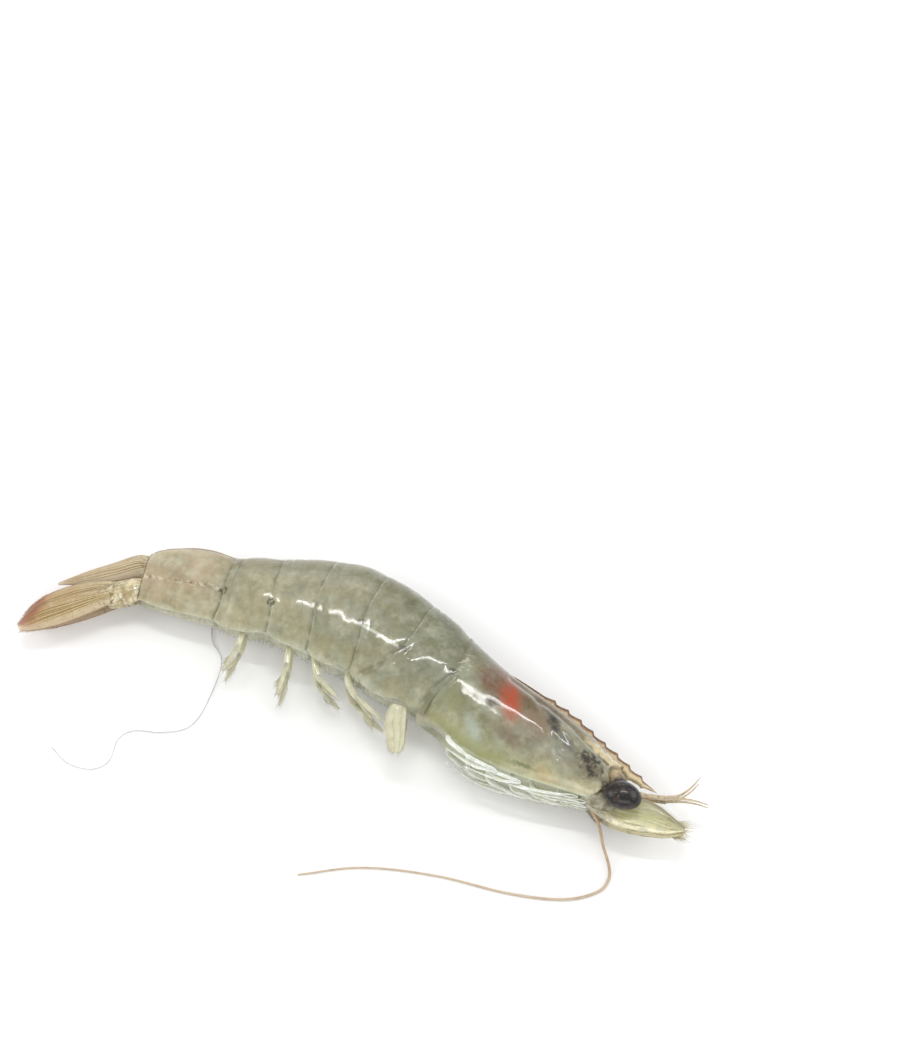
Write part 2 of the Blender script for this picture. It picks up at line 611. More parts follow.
def shell_look(name, **gloss):
    """Wet grey-green shell over cloudy flesh, coloured by the place on the body."""
    look = Look(name, 0.34, flesh=0.45, **gloss)
    s, side = look.uv("body")
    back, middle, flap = (look.ramp(s, *rows) for rows in (BACK_COLOURS, SIDE_COLOURS, FLAP_COLOURS))
    where = side + (look.noise(4.5, 4.0, 0.6) - 0.5) * 0.26
    look.colour = look.mix(where.rise(0.18, 0.42), back, middle)
    look.over(where.rise(0.56, 0.80), flap)
    greyness = (s.rise(0.10, 0.30) * 0.4 + 0.25) * (side.rise(0.05, 0.40) * 0.5 + 0.5)
    look.clouds(
        (7.0, 4.0, 0.60, 0.31, 0.42, 0.70, 0.50, (112, 110, 66)),
        (5.0, 4.0, 0.58, 0.83, 0.40, 0.70, greyness, (146, 151, 133)),
        (3.2, 3.0, 0.60, 0.52, 0.44, 0.82, side.rise(0.12, 0.4) * 0.42, (195, 194, 168)),
        (3.4, 3.0, 0.60, 0.17, 0.44, 0.82, 0.36, (88, 88, 60)),
        (1.1, 3.0, 0.65, 0.66, 0.46, 0.74, 0.16, (180, 180, 154)),
        (1.1, 3.0, 0.65, 0.66, 0.52, 0.30, 0.13, (88, 84, 56)),
    )
    # The thin pale skin of the belly, between the side flaps
    belly = (side + (look.noise(1.6, 3.0, 0.6, 0.28) - 0.5) * 0.10).rise(FLAP - 0.06, FLAP + 0.03)
    folds = look.noise(1.2, 3.0, 0.6, 0.4, (1.6, 0.6, 1.0)).rise(0.30, 0.70)
    look.over(belly * s.rise(0.64, 0.60) * 0.8, look.mix(folds, (172, 174, 150), (202, 204, 188)))
    return look, s, side


def add_specks(look, side, amount):
    """The small dark colour cells, thickest on the back and sparse below."""
    thick = (side.rise(0.62, 0.05) * 0.4 + 0.1) * amount
    look.over(look.specks(0.62, 0.28, 0.56, 0.4) * thick * 0.7, (84, 78, 54))
    look.over(look.specks(1.5, 0.20, 0.42, 0.9) * thick, (66, 56, 38))


def add_joints(look, side):
    """Where shells overlap: a pale rim on the back that comes and goes, and a dark line down the side."""
    rear, front = look.uv("rim")
    fade = look.noise(2.6, 2.0, seed=0.71)
    lower = side.rise(0.46, 0.54) * fade.rise(0.34, 0.52)
    look.over(front.rise(0.12, 0.0) * fade.rise(0.36, 0.6) * 0.5, (92, 92, 62))
    look.over((front - 0.004).size().rise(0.09, 0.0) * lower * 0.18, (84, 82, 52))
    look.over(rear.rise(0.05, 0.015) * fade.rise(0.56, 0.42) * 0.4, (188, 188, 166))


# The hinges between neighbouring shells: place, strength of the dark mark, and whether it is a ring
HINGES = (
    (-30.3, 27.7, 0.85, True), (-19.5, 24.5, 0.85, True), (-9.8, 23.6, 0.3, False), (0.7, 19.1, 0.7, False),
    (9.8, 12.9, 0.7, False), (20.7, 7.4, 0.8, False),
)


def add_hinges(look):
    """The small dark rings and smudges where neighbouring shells hinge on each other."""
    where = look.wander(0.6, 2.2, 0.44)
    worn = look.noise(0.7, 2.0, seed=0.21).rise(0.34, 0.50)
    for x, y, strength, ring in HINGES:
        near = look.spot(where, x, y, 1.15, 1.0, 0)
        mark = near.rise(0.0, 0.35)
        if ring:
            mark = mark * near.rise(0.85, 0.5) * worn
        look.over(mark * strength, (58, 54, 30))


def wet_shell(look):
    """The finished shell, with its fine relief and sheen."""
    look.set("Roughness", look.noise(2.0, 3.0, seed=0.15) * 0.25 + 0.25)
    ripples = look.noise(0.6, 2.0, seed=0.5) * 0.05 + look.noise(1.7, 2.0, 0.5, 0.6) * 0.45
    return look.done(ripples + look.noise(4.0, 2.0, seed=0.8) * 0.5, 0.25, 0.65)


def make_abdomen_look():
    look, s, side = shell_look("wet_shell")
    # Faint bands of muscle that run round the body under the shell
    bands = look.noise(2.4, 3.0, 0.6, 0.12, (1.0, 0.25, 0.25))
    look.over(bands.rise(0.5, 0.72) * side.rise(0.2, 0.5) * 0.28, (112, 110, 80))
    add_joints(look, side)
    # The pale line along the side between the hinges of segment 2
    line = (side - 0.545).size().rise(0.012, 0.004) * (s - 0.488).size().rise(0.052, 0.042)
    look.over(line * look.noise(2.0, 2.0, seed=0.3).rise(0.35, 0.5) * 0.7, (204, 206, 190))
    add_hinges(look)
    add_specks(look, side, 1.0)
    look.over(side.rise(0.085, 0.05) * 0.5, (92, 80, 52))
    return wet_shell(look)


def make_tail_look():
    """Segment 6: beige and pinkish, with a brown keel line and a dotted pale line down the side."""
    look, s, side = shell_look("tail_shell", coat=0.3, coat_roughness=0.2)
    look.clouds(
        (6.0, 3.0, 0.55, 0.2, 0.36, 0.66, side.rise(0.7, 0.4) * 0.30, (190, 164, 140)),
        (4.0, 3.0, 0.55, 0.95, 0.42, 0.72, 0.32, (206, 208, 190)),
    )
    line = (side - 0.525 - (look.noise(3.0, 2.0) - 0.5) * 0.05).size()
    dots = look.noise(0.9, 1.0, seed=0.9)
    look.over(line.rise(0.03, 0.01) * dots.rise(0.50, 0.66) * 0.4, (226, 222, 206))
    look.over(line.rise(0.02, 0.008) * dots.rise(0.46, 0.30) * 0.8, (116, 92, 62))
    add_joints(look, side)
    add_hinges(look)
    add_specks(look, side, 0.8)
    look.over(side.rise(0.115, 0.075) * 0.85, (104, 66, 42))
    ragged = look.uv("rim")[0] + (look.noise(1.0, 2.0, seed=0.3) - 0.5) * 0.06
    look.over(ragged.rise(0.045, 0.015) * 0.8, (84, 72, 38))
    return wet_shell(look)


# What shows through the carapace: place in plan, half length, half width, heading, colour, strength,
# and how soft the edge is
ORGANS = (
    (25.4, -5.6, 5.6, 2.6, -70, (172, 182, 170), 0.75, 0.9),        # pale flesh low at the rear
    (20.5, 1.0, 5.5, 3.2, -30, (136, 138, 92), 0.50, 0.9),          # olive flesh at the rear
    (45.6, -10.5, 6.5, 3.6, -48, (132, 134, 122), 0.65, 0.9),       # grey flesh by the face
    (31.6, 5.4, 7.8, 5.6, -30, (108, 74, 50), 0.92, 0.6),           # brown gland
    (38.0, 1.2, 6.4, 4.4, -40, (98, 78, 46), 0.95, 0.8),            # its olive end
    (39.0, -4.2, 5.6, 3.4, -40, (128, 106, 84), 0.85, 0.7),         # beige stomach wall
    (33.2, -7.4, 6.4, 2.0, -42, (120, 100, 84), 0.65, 0.8),         # dull streak below it
    (29.9, 0.6, 4.0, 1.6, -22, (62, 44, 38), 0.90, 0.8),            # dark edge of the gland
    (33.7, 0.6, 7.8, 4.0, 92, (140, 80, 50), 0.85, 0.9),            # red ovary, its halo
    (33.8, 0.8, 6.8, 3.2, 92, (170, 64, 24), 0.90, 0.9),            # and its core
    (43.2, -4.2, 5.2, 2.3, -74, (44, 38, 34), 0.98, 0.8),           # dark wall of the groove
    (46.0, -8.6, 4.6, 1.4, -58, (84, 84, 80), 0.80, 0.8),           # and its grey end
    (36.2, -13.4, 5.0, 1.0, -22, (96, 104, 64), 0.70, 0.8),         # dark green line low on the side
    (41.2, -16.0, 5.0, 2.4, -42, (176, 156, 110), 0.70, 0.8),       # tan flesh behind the mouth
    (50.4, -21.6, 4.8, 2.6, -38, (188, 190, 176), 0.70, 0.8),       # pale flesh before it
    (58.4, -17.6, 6.4, 2.0, -50, (136, 112, 80), 0.80, 0.8),        # tan side of the head under the rostrum
    (56.0, -12.5, 10.5, 1.6, -44, (208, 193, 156), 1.00, 0.5),      # cream side of the rostrum
)


def make_carapace_look():
    """The carapace: organs show through as an orange-red patch and dark ones, and its edge is green."""
    look, s, side = shell_look("head_shell")
    where = look.wander(1.8, 3.6, 0.45)
    streaks = look.noise(1.3, 3.0, 0.65, 0.6, (1.3, 0.7, 1.0)) * 1.4 + 0.2
    streaks = look.math("MINIMUM", streaks, 1.0)
    for x, y, long, wide, heading, colour, strength, soft in ORGANS:
        look.over(look.spot(where, x, y, long, wide, heading).rise(0.0, soft) * streaks * strength, colour)
    # Dark pigment that runs on to the eye
    blotches = look.noise(1.5, 3.0, 0.62, 0.25)
    ovals = look.spot(where, 51.0, -13.4, 4.8, 3.3, -50), look.spot(where, 55.2, -18.6, 3.6, 2.2, -60)
    dark = look.math("MAXIMUM", *ovals)
    look.over(dark.rise(0.0, 0.8) * 0.6, (92, 86, 68))
    look.over(dark.rise(0.0, 0.5) * blotches.rise(0.44, 0.58) * 0.9, (46, 41, 34))
    look.over(dark.rise(0.1, 0.6) * blotches.rise(0.42, 0.34) * 0.4, (190, 190, 172))
    low = side + (look.noise(2.5, 4.0, seed=0.61) - 0.5) * 0.09
    look.over(
        (low - 0.79).size().rise(0.075, 0.01) * (s - 0.74).size().rise(0.12, 0.06) * 0.55, (150, 150, 92)
    )
    look.over(low.rise(0.82, 0.86) * s.rise(0.66, 0.72) * 0.6, (196, 204, 180))
    rear, _ = look.uv("rim")
    fibres = look.noise(0.7, 2.0, seed=0.58, stretch=(0.5, 1.4, 1.0))
    spread = (side - 0.40).size().rise(0.16, 0.0) * rear.rise(0.5, 0.0)
    look.over(spread * fibres.rise(0.5, 0.62) * 0.7, (214, 208, 188))
    look.over(rear.rise(0.16, 0.0) * side.rise(0.5, 0.38) * 0.6, (92, 84, 50))
    add_hinges(look)
    add_specks(look, side, 0.8)
    look.over(side.rise(0.12, 0.06) * s.rise(0.88, 0.80) * 0.8, (64, 46, 32))
    return wet_shell(look)


def make_rostrum_look():
    """Pale horn with a dark brown crest and teeth."""
    look = Look("rostrum_horn", 0.34, flesh=0.15)
    height = look.uv("lay")[1] + (look.noise(1.2, seed=0.7) - 0.5) * 0.16
    look.colour = look.ramp(
        height, (0.0, (140, 128, 98)), (0.30, (208, 194, 158)), (0.66, (208, 188, 150)),
        (0.80, (156, 122, 86)),
        (0.90, (90, 60, 42)), (1.0, (66, 44, 32)),
    )
    look.clouds((1.0, 3.0, 0.55, 0.0, 0.54, 0.72, 0.5, (124, 92, 64)))
    look.over(look.specks(0.6, 0.28, 0.6) * 0.6, (96, 62, 44))
    return look.done(look.noise(0.6, 2.0), 0.08, 0.5)


AMBER = ((196, 186, 150), (194, 172, 128), (188, 156, 110), (202, 172, 142))
PALE_AMBER = ((204, 190, 158), (206, 182, 146), (200, 168, 134), (212, 184, 160))
TELSON_COLOURS = ((200, 190, 156), (202, 186, 150), (200, 178, 140), (188, 158, 118))


def make_fan_look(name, colours, low_colour, reddish, speckled):
    """A blade of the tail fan: thin amber horn, olive ribs, and its own colour towards the end."""
    look = Look(name, 0.34, flesh=0.1)
    along, across = look.uv("lay")
    hair = across.rise(1.4, 1.6)
    edge = (across * 2 - 1).size()
    look.colour = look.ramp(along, *zip((0.0, 0.3, 0.7, 1.0), colours))
    soft = look.noise(3.0, 4.0, 0.6, 0.3)
    look.over(soft.rise(0.50, 0.68) * 0.5, (224, 204, 170))
    fine = look.fibres(along, across, 0.30, 0.045, 0.6)
    look.over(fine.rise(0.48, 0.66) * 0.55, (160, 126, 72))
    ragged = along + (look.noise(2.4, 3.0, seed=0.8) - 0.5) * 0.3 + (across - 0.5) * 0.25
    red = ragged.rise(0.60, 0.78) * across.rise(0.30, 0.70) * along.rise(0.99, 0.93)
    look.over(red * reddish, (156, 82, 56))
    look.over(along.rise(0.90, 0.99) * across.rise(0.8, 0.4) * 0.7, (236, 222, 196))
    wave = (look.noise(5.0, 2.0, seed=0.33) - 0.5) * 0.12
    for place_across in FAN_RIBS:
        rib = (across * 2 - 1 - (along * 0.75 + 0.25) * place_across + wave).size()
        look.over(rib.rise(0.055, 0.015) * along.rise(0.95, 0.70) * 0.8, (122, 98, 44))
        look.over((rib - 0.085).size().rise(0.035, 0.01) * along.rise(0.9, 0.5) * 0.4, (226, 204, 150))
    look.over(across.rise(0.42, 0.18) * 0.65, low_colour)
    look.over(edge.rise(0.88, 0.97) * 0.7, (128, 84, 60))
    look.over(look.squiggles(1.6, 0.05, 0.2) * along.rise(0.30, 0.02) * 0.6, (70, 54, 28))
    look.over(look.specks(0.55, 0.30, 0.7) * speckled, (124, 84, 52))
    look.over(hair, (214, 188, 162))
    solid = edge.rise(0.85, 1.0) * 0.2 + along.rise(0.3, 0.0) * 0.2 + 0.74
    look.set("Alpha", look.math("MINIMUM", solid, 1.0) - hair * 0.35)
    return look.done(fine * 0.6 + soft * 0.4, 0.14, 0.7)


def make_stem_look():
    """The tail fan's stems: pale yellow-grey with dark squiggles and a whitish wet side."""
    look = Look("fan_stem", 0.3, flesh=0.25, reach=0.002)
    look.colour = look.mix(look.noise(2.6, 4.0, 0.6).rise(0.4, 0.66), (158, 142, 100), (214, 202, 166))
    look.clouds((1.4, 3.0, 0.55, 0.5, 0.5, 0.66, 0.6, (226, 218, 200)))
    patchy = look.noise(3.0, 2.0, seed=0.2).rise(0.44, 0.56)
    look.over(look.squiggles(2.2, 0.04, 0.9) * patchy * 0.7, (78, 66, 36))
    look.over(look.specks(0.6, 0.3, 0.6) * 0.5, (110, 88, 50))
    return look.done(look.noise(0.9, 3.0), 0.2, 0.7)


def make_scale_look():
    """The scales beside the eyes: thin yellow-green horn, streaked to the tip, with a cream rib."""
    look = Look("scale_horn", 0.34, flesh=0.1)
    along, across = look.uv("lay")
    hair = across.rise(1.4, 1.6)
    across = 1 - across
    look.colour = look.ramp(
        across, (0.0, (232, 222, 184)), (0.12, (240, 232, 196)), (0.24, (208, 202, 150)),
        (0.40, (196, 194, 142)),
        (0.75, (190, 190, 146)), (1.0, (166, 158, 116)),
    )
    streaks = look.fibres(along, across, 0.40, 0.05, 0.4)
    look.over(
        streaks.rise(0.52, 0.64) * look.noise(2.2, 2.0, seed=0.7).rise(0.30, 0.56) * 0.75, (138, 128, 80)
    )
    look.over(streaks.rise(0.46, 0.34) * 0.75, (240, 236, 206))
    look.clouds((2.0, 4.0, 0.65, 0.2, 0.48, 0.66, 0.6, (176, 178, 152)))
    look.over(look.noise(1.2, 4.0, 0.65, 0.1, (0.5, 1.5, 1.0)).rise(0.55, 0.7) * 0.5, (150, 130, 92))
    root = (along + (look.noise(1.5, 3.0, 0.6, 0.6) - 0.5) * 0.3).rise(0.42, 0.16)
    look.over(root * 0.85, (160, 156, 134))
    look.over(root * look.noise(1.0, 3.0, 0.65, 0.8).rise(0.52, 0.64) * 0.7, (84, 76, 58))
    brown = look.fibres(along, across, 0.18, 0.07, 0.9).rise(0.42, 0.56)
    look.over(brown * along.rise(0.45, 0.85) * across.rise(0.55, 0.95) * 0.9, (96, 70, 46))
    look.over(look.specks(0.7, 0.28, 0.55) * 0.35, (110, 92, 58))
    look.over(hair, (214, 204, 156))
    solid = across.rise(0.3, 0.1) * 0.25 + along.rise(0.4, 0.1) * 0.2 + 0.74
    look.set("Alpha", look.math("MINIMUM", solid, 1.0) - hair * 0.3)
    return look.done(streaks * 0.8 + look.noise(0.8, 2.0) * 0.2, 0.2, 0.8)


def make_feeler_look():
    """The feelers: speckled grey-beige with faint brown rings."""
    look = Look("feeler_shell", 0.36, flesh=0.15)
    rings = look.math("SINE", look.uv("lay")[0] * 90.0 + look.noise(1.5, 2.0) * 8.0).rise(0.0, 0.8)
    look.colour = look.mix(rings * 0.16, (190, 174, 142), (128, 102, 76))
    look.clouds((1.4, 3.0, 0.55, 0.0, 0.45, 0.66, 0.5, (150, 128, 100)))
    look.over(look.specks(0.6, 0.34, 0.7) * 0.6, (84, 66, 48))
    return look.done()


def make_limb_look(name, base, shade, green, speck_amount, alpha=0.93):
    """Pale wet limbs: translucent whitish flesh in thin shell, streaked lengthwise."""
    look = Look(name, 0.32, flesh=0.35, reach=0.0015)
    _, across = look.uv("lay")
    hair = across.rise(1.4, 1.6)
    cloud = look.noise(1.8, 4.0, 0.6, 0.3)
    look.colour = look.mix(cloud.rise(0.36, 0.66), shade, base)
    look.clouds((4.0, 3.0, 0.55, 0.6, 0.48, 0.68, 0.6, green))
    look.over(look.math("SINE", across * 19.0 + cloud * 6.0).rise(0.3, 1.0) * 0.26, (128, 128, 98))
    look.over(look.specks(0.8, 0.26, 0.55, 0.1) * speck_amount, (132, 104, 78))
    look.over(hair, (222, 216, 196))
    look.set("Alpha", alpha - hair * 0.35)
    return look.done(look.noise(0.9, 2.0), 0.12, 0.5)


def make_eye_look():
    """Nearly black, finely faceted, with brown clouds."""
    look = Look("eye_black", 0.34, coat=0.5)
    cloud = look.noise(1.6, 4.0, 0.65, 0.3)
    look.colour = look.mix(cloud.rise(0.48, 0.70) * 0.6, (16, 12, 13), (84, 64, 50))
    look.clouds((0.7, 3.0, 0.55, 0.8, 0.58, 0.72, 0.4, (120, 104, 90)))
    return look.done(look.cells(0.32).rise(0.0, 0.6) * 0.4 + cloud, 0.12, 0.6)


def make_stalk_look():
    """The eye stalks: beige where they leave the head, and dark towards the eye."""
    look = Look("stalk_flesh", 0.4, coat=0.4, flesh=0.2, reach=0.0015)
    ragged = look.uv("lay")[0] + (look.noise(1.2, 3.0, 0.6, 0.2) - 0.5) * 0.3
    look.colour = look.mix(look.noise(1.6, 3.0, seed=0.7).rise(0.4, 0.6), (150, 130, 98), (186, 168, 132))
    look.over(ragged.rise(0.34, 0.62), (40, 32, 28))
    look.over(look.specks(0.6, 0.3, 0.6) * 0.5, (70, 54, 40))
    return look.done(look.noise(0.8, 2.0), 0.12, 0.5)


def make_face_look():
    """The soft front of the head: pale flesh with dark pigment towards the eyes."""
    look = Look("face_flesh", 0.42, coat=0.25, flesh=0.3, reach=0.002)
    look.colour = look.mix(look.noise(2.0, 4.0, 0.6).rise(0.4, 0.66), (124, 112, 82), (186, 176, 142))
    dark = look.spot(look.wander(1.4, 2.4, 0.66), 59.6, -21.4, 6.4, 4.6, -30).rise(0.0, 0.5)
    look.over(dark * 0.85, (58, 48, 38))
    blotches = look.noise(0.9, 3.0, 0.7, 0.3)
    look.over(dark * blotches.rise(0.40, 0.52) * 0.9, (26, 20, 18))
    look.over(look.specks(0.7, 0.32, 0.7) * 0.6, (76, 64, 44))
    return look.done(blotches, 0.2, 0.6)


def make_whisker_look(name, near, far):
    look = Look(name, 0.4, coat=0.4)
    look.colour = look.mix(look.uv("lay")[0].rise(0.0, 0.45), near, far)
    look.clouds((2.5, 2.0, 0.55, 0.0, 0.45, 0.65, 0.25, (122, 88, 66)))
    return look.done()


def make_looks():
    """Every finish, with the slot that its pieces take."""
    green = (210, 214, 178)
    LOOKS.update({
        "shell": ("shell", make_abdomen_look()),
        "tail_shell": ("tail_shell", make_tail_look()),
        "carapace": ("shell", make_carapace_look()),
        "rostrum": ("shell", make_rostrum_look()),
        "fan_outer_right": ("tail_fan", make_fan_look("fan_outer", AMBER, (214, 196, 164), 0.75, 0.5)),
        "fan_inner_right": ("tail_fan", make_fan_look("fan_inner", AMBER, (206, 178, 138), 0.7, 0.3)),
        "fan_outer_left": ("tail_fan", make_fan_look("fan_outer_low", PALE_AMBER, (220, 202, 176), 0.5, 0.7)),
        "fan_inner_left": ("tail_fan", make_fan_look("fan_inner_low", PALE_AMBER, (214, 190, 158), 0.5, 0.5)),
        "telson": ("tail_shell", make_fan_look("telson_horn", TELSON_COLOURS, (200, 184, 152), 0.0, 0.3)),
        "stem": ("tail_shell", make_stem_look()),
        "eye": ("eye", make_eye_look()),
        "face": ("head_scale", make_face_look()),
        "eyestalk": ("head_scale", make_stalk_look()),
        "scale": ("head_scale", make_scale_look()),
        "scale_base": (
            "head_scale",
            make_limb_look("scale_base", (184, 180, 156), (116, 108, 86), (158, 160, 134), 0.8)
        ),
        "feeler": ("head_scale", make_feeler_look()),
        "whisker_right": ("whisker", make_whisker_look("whisker_brown", (178, 148, 114), (198, 178, 152))),
        "whisker_left": ("whisker", make_whisker_look("whisker_grey", (150, 142, 138), (198, 196, 200))),
        "leg": (
            "limb", make_limb_look("leg_flesh", (246, 247, 240), (222, 226, 210), (222, 226, 198), 0.2, 0.9)
        ),
        "swimmeret": (
            "limb", make_limb_look("swimmeret_flesh", (218, 215, 188), (196, 192, 160), green, 0.12, 0.82)
        ),
    })


# Body shells


def make_shell(name, rear_edge, front_edge, relief, look, around=200, count=54):
    """One shell of the body between two edges, which are functions of the share from back to belly.

    relief gives the lift in millimetres at station s and turn, from the distance to the rear edge.
    """
    # Rows from rear to front: share of the length, fixed lift or None, and shrink to the middle
    rows = [(0.02, RIM_LIFT - 0.5, shrink) for shrink in (0.0, 0.45, 0.86)] + [
        (0.012, RIM_LIFT - 0.42, 0.985)
    ]
    rows += [(0.0, RIM_LIFT - 0.22 * (1 - np.sin(k * np.pi / 8)), 1.0) for k in range(5)]
    rows += [(k / count, None, 1.0) for k in range(1, count)]
    rows += [(1.0, TUCK_LIFT, 1.0), (1.0, TUCK_LIFT - 0.4, 0.97)]
    rows += [(1.0, TUCK_LIFT - 0.5, shrink) for shrink in (0.8, 0.4, 0.0)]
    share, shrink = (np.array([row[k] for row in rows]) for k in (0, 2))
    fixed = np.array([row[1] or 0.0 for row in rows])
    free = np.array([row[1] is None for row in rows])

    def measure(u, v):
        row, side = np.rint(v * (len(rows) - 1)).astype(int), fold(u)
        low, high = rear_edge(side), front_edge(side)
        return row, side, low, low + (high - low) * share[row], high

    def shape(u, v):
        row, side, low, s, high = measure(u, v)
        body = relief(s, u, s - low)
        body = body + RIM_LIFT * bump(s - low, 1.2) + TUCK_LIFT * step(high - s, TUCK_LENGTH * 1.5, 0.0)
        edge = np.where(share[row] < 0.5, relief(low, u, 0.0), relief(high, u, 10.0))
        return skin(s, u, np.where(free[row], body, fixed[row] + edge), shrink[row])

    def body_map(u, v):
        _, side, _, s, _ = measure(u, v)
        return s / SHELL_END, side

    def rim_map(u, v):
        _, _, low, s, high = measure(u, v)
        return (s - low) / 10, (high - s - TUCK_LENGTH) / 10

    finish_piece(name, bent_grid(around, len(rows) - 1, shape, {"body": body_map, "rim": rim_map}), look)


def abdomen_relief(number, length):
    """Relief of an abdominal shell: its swell, the side flap's fold and scalloped edge, and the belly."""
    draw = random.Random(number)
    wave = [draw.uniform(0, TURN) for _ in range(4)]

    def relief(s, turn, from_rear):
        side = fold(turn)
        t = np.clip(from_rear / length, 0, 1)
        lift = 0.30 * (1 - (2 * t - 1) ** 2) - 0.12 - 0.05 * bump(side - 0.62, 0.03)
        # The right flap hangs free, and the left one is pressed in by the weight of the body
        hang = np.where(np.sin(turn * TURN) > 0, 1.6, -0.2) * (0.6 if number == 6 else 1.0)
        corner = 0.035 * np.abs(2 * t - 1) ** 3
        lift = lift + hang * np.clip((side - 0.5) / 0.33, 0, 1.1) ** 2 + 0.15 * bump(
            side - FLAP + corner, 0.02
        )
        lift = lift - (hang + 2.0) * step(side, FLAP + 0.01 - corner, FLAP + 0.06 - corner)
        lift = lift + 0.05 * np.sin(s * 0.6 + wave[0]) * np.sin(side * 9 + wave[1])
        lift = lift + 0.02 * np.sin(s * 1.3 + wave[2] + side * 6) + 0.015 * np.sin(
            side * 19 + s * 0.6 + wave[3]
        )
        lift = lift - 0.09 * bump(from_rear - 1.9, 0.5) * step(side, 0.75, 0.5)
        if number == 6:
            lift = lift + 0.25 * bump(side, 0.02) - 0.12 * bump(side - 0.06, 0.03)
            lift = lift - 0.16 * bump(side - 0.525, 0.025)
        return lift

    return relief


def make_abdomen():
    """The six abdominal shells, each with its rear rim over the front of the next."""
    for number, length, _ in SEGMENTS:
        def rear(side, n=number):
            return 0.1 + 0.5 * bump(side, 0.1) if n == 6 else joint_edge(n + 1, side)

        def front(side, n=number):
            return joint_edge(n, side) + TUCK_LENGTH

        look, count = ("tail_shell", 80) if number == 6 else ("shell", 54)
        make_shell(f"abdomen_{number}", rear, front, abdomen_relief(number, length), look, count=count)


def make_flap_hairs():
    """Short pale hairs along the lower edges of the side flaps."""
    for number, _, _ in SEGMENTS[1:]:
        draw = random.Random(number + 40)
        roots, ways, lengths = [], [], []
        low, high = (float(joint_edge(n, np.array(FLAP))) for n in (number + 1, number))
        high = max(high, low + 2.0)
        for side, _ in SIDES:
            for _ in range(int((high - low) * 5)):
                s = np.array([draw.uniform(low + 0.3, high - 0.3)])
                turn = np.array([0.5 * FLAP - 0.003 + draw.uniform(-0.008, 0.004)])
                turn = turn if side == RIGHT else 1 - turn
                root, below = skin(s, turn, 0.0)[0], skin(s, turn, 1.0)[0]
                ahead = skin(s - 1.0, turn, 0.0)[0]
                down = (place(s, -1.0, 0.0) - place(s, 0.0, 0.0))[0]
                roots.append(root)
                way = down * draw.uniform(0.9, 1.4) + (below - root) * 0.4
                ways.append(way + (ahead - root) * draw.uniform(0, 0.8))
                lengths.append(draw.uniform(0.4, 1.0) * MM)
        hairs = bristles(roots, ways, lengths, 0.045 * MM)
        finish_piece(f"flap_hairs_{number}", hairs, "swimmeret", f"swimmeret_{number}_right")


def distance_to_line(points, a, b):
    """Distance in millimetres from places (a, b) to a line through points."""
    best = np.full(np.broadcast(a, b).shape, 1e9)
    for (x0, y0), (x1, y1) in zip(points, points[1:]):
        dx, dy = x1 - x0, y1 - y0
        t = np.clip(((a - x0) * dx + (b - y0) * dy) / (dx * dx + dy * dy), 0, 1)
        best = np.minimum(best, np.hypot(a - x0 - t * dx, b - y0 - t * dy))
    return best


def carapace_relief(s, turn, from_rear):
    """Grooves, ridges and spines of the carapace, its lower edge and the open belly."""
    side, a = fold(turn), s - ABDOMEN_LENGTH
    back, belly, _, _, back_power, belly_power = body_size(s)
    c = np.cos(side * np.pi)
    b = np.sign(c) * np.where(c > 0, back, belly) * np.abs(c) ** (2 / powers(c, back_power, belly_power))
    lift = 0.03 * np.sin(a * 0.35 + 0.8 + side * 3) * np.sin(side * 6 + 1.0)
    lift = lift + 0.008 * np.sin(a * 1.13 + side * 13)
    lift = lift - 0.12 * bump(from_rear - 1.3, 0.45) + 0.26 * bump(side - 0.855, 0.016)
    for points, height, width in (
        (ROSTRAL_GROOVE, -0.50, 0.75), (ORBIT_RIDGE, 0.28, 0.6), (NECK_GROOVE, -0.30, 0.9),
        (LIVER_GROOVE, -0.28, 0.7), (CHEEK_LINE, 0.14, 1.6),
    ):
        lift = lift + height * bump(distance_to_line(points, a, b), width)
    for along, across, height in SPINES:
        lift = lift + height * bump(np.hypot(a - along, b - across), 0.55)
    return lift - 1.5 * step(side, 0.87, 0.91) * step(a, 1.0, 5.0)


def make_rostrum():
    """The toothed blade that runs forward from the carapace's back."""
    pitch = (TEETH_TO - TEETH_FROM) / TEETH
    end = ROSTRUM_FROM + ROSTRUM_LENGTH

    def shape(u, v):
        a = ROSTRUM_FROM + ROSTRUM_LENGTH * v
        phase = (a - TEETH_FROM) / pitch
        t = phase % 1.0
        tooth = np.where(t < 0.8, (t / 0.8) ** 1.8, (1 - t) / 0.2) * TOOTH_HEIGHT
        top = smooth_line(CREST, a, ROSTRUM_FROM, end, 90) + np.where(
            (phase > 0) & (phase < TEETH), tooth, 0.0
        )
        low = smooth_line(UNDERSIDE, a, ROSTRUM_FROM, end, 90) - 0.35 * (
            bump(a - 47.0, 0.45) + bump(a - 50.5, 0.45)
        )
        up, round_side = 0.5 + 0.5 * np.cos(u * TURN), np.sin(u * TURN)
        # Widest at the ridge along its lower third, thin at the crest
        width = 0.62 * (step(54.6 - a, 0.0, 12.0) * 0.75 + 0.25) * (0.22 + 0.78 * bump(up - 0.36, 0.26))
        width = width * np.abs(round_side) ** 0.7 + 0.25 * step(22.0 - a, 0.0, 12.0) * np.abs(round_side)
        shut = np.sqrt(np.clip((1 - v) / 0.03, 0, 1)) * np.sqrt(np.clip(v / 0.02, 0, 1))
        middle = (top + low) / 2
        b = middle + (low + (top - low) * up - middle) * shut
        return head_place(a, b, np.sign(round_side) * width * shut)

    return bent_grid(48, 420, shape, {"lay": lambda u, v: (v, 0.5 + 0.5 * np.cos(u * TURN))})


